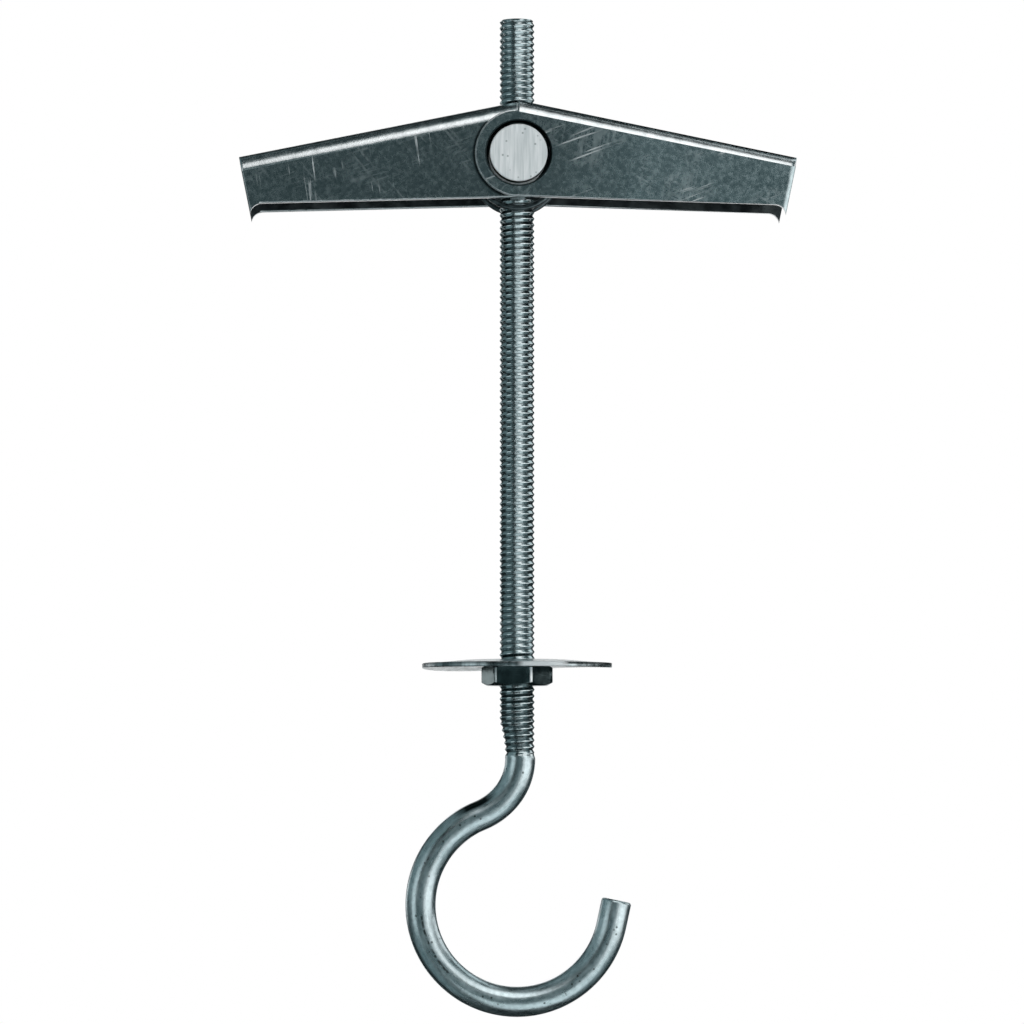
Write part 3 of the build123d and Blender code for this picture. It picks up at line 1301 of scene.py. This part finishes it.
# %% Set up the cards
cards = (
    ("lens", (-14, 22), (-26, 28), 0.125),
    ("lens_low", (-42, -14), (-26, -1), 0.12),
    ("lens_line", (-42, -14), (-1, 28), 0.03),
    ("left_light", (-72, -42), (-15, 15), 0.85),
    ("left_over", (-72, -42), (15, 28), 0.26),
    ("left_under", (-72, -42), (-26, -15), 0.26),
    ("left_dark", (-128, -72), (-26, -1), 0.06),
    ("left_side", (-128, -72), (-1, 28), 0.22),
    ("left_back", (-162, -145), (-26, 28), 0.02),
    ("left_above", (-145, -128), (10, 28), 0.04),
    ("left_below", (-145, -128), (-26, -10), 0.04),
    ("right_dark", (54, 90), (-1, 28), 0.06),
    ("right_back", (94, 162), (-26, 2), 0.04),
    ("right_above", (128, 162), (2, 28), 0.04),
    ("top_left", (-100, -45), (28, 62), 0.2),
    ("top_line", (-45, -18), (28, 62), 0.04),
    ("top_right", (56, 70), (28, 62), 0.4),
    ("top_far_right", (70, 108), (28, 62), 0.08),
    ("top_edge", (108, 140), (28, 72), 0.8),
    ("top_back", (140, 210), (28, 72), 0.02),
    ("top_left_edge", (210, 260), (28, 72), 0.15),
    ("over_left", (-100, -35), (62, 90), 0.05),
    ("over_right", (48, 100), (62, 90), 0.05),
    ("over_line", (-35, -18), (62, 77), 0.04),
    ("over_soft", (-18, 5), (62, 77), 0.5),
    ("over", (-35, 35), (77, 90), 0.03),
    ("over_back", (100, 260), (72, 90), 0.02),
    ("low_left", (-100, -45), (-62, -26), 0.2),
    ("low_line", (-45, -16), (-62, -26), 0.04),
    ("low_light", (-16, 60), (-62, -26), 0.85),
    ("low_right", (60, 100), (-62, -26), 0.15),
    ("low_back", (100, 260), (-62, -26), 0.02),
    ("low", (0, 360), (-90, -62), 0.02),
)
for name, turns, rises, grey in cards:
    card("card_" + name, turns, rises, grey)
print("Cards in the room:", len(cards))

# %% [markdown]
# Two soft lamps add a little to the white room, one to the right of the camera and one above.
# The floor is far below the hook, which hangs from its ceiling, so only its pale colour and a
# faint shadow show when one looks down from above.


# %% Soft lamps and floor
def soft_lamp(name, turn, rise, distance, size, radiance):
    """A square lamp that faces the object, as bright all over as a wall of that radiance."""
    lamp = bpy.data.objects.new(name, bpy.data.lights.new(name, "AREA"))
    lamp.data.shape = "SQUARE"
    lamp.data.size = size
    lamp.data.energy = radiance * math.pi * size**2
    lamp.location = studio_centre + from_camera(turn, rise) * distance
    lamp.rotation_mode = "QUATERNION"
    lamp.rotation_quaternion = (studio_centre - lamp.location).to_track_quat("-Z", "Y")
    lamp.visible_camera = False
    scene.collection.objects.link(lamp)


soft_lamp("key_lamp", turn=62, rise=0, distance=0.7, size=0.5, radiance=0.4)
soft_lamp("top_lamp", turn=10, rise=50, distance=0.7, size=0.36, radiance=0.5)

floor_height = -0.5
floor_radius = 2.0
floor_sides = 96
floor_colour = (0.86, 0.86, 0.86, 1)
floor_roughness = 0.9

floor_shape = bmesh.new()
bmesh.ops.create_circle(floor_shape, cap_ends=True, segments=floor_sides, radius=floor_radius)
bmesh.ops.translate(floor_shape, verts=floor_shape.verts[:], vec=(0, 0, floor_height))
floor_paint, floor_shader = new_material("pale_floor")
floor_shader.inputs["Base Color"].default_value = floor_colour
floor_shader.inputs["Roughness"].default_value = floor_roughness
set_up("studio_floor", floor_shape, floor_paint)
print("Floor below the washer by m:", -floor_height)

# %% [markdown]
# ## Sizes

# %% Sizes
import json
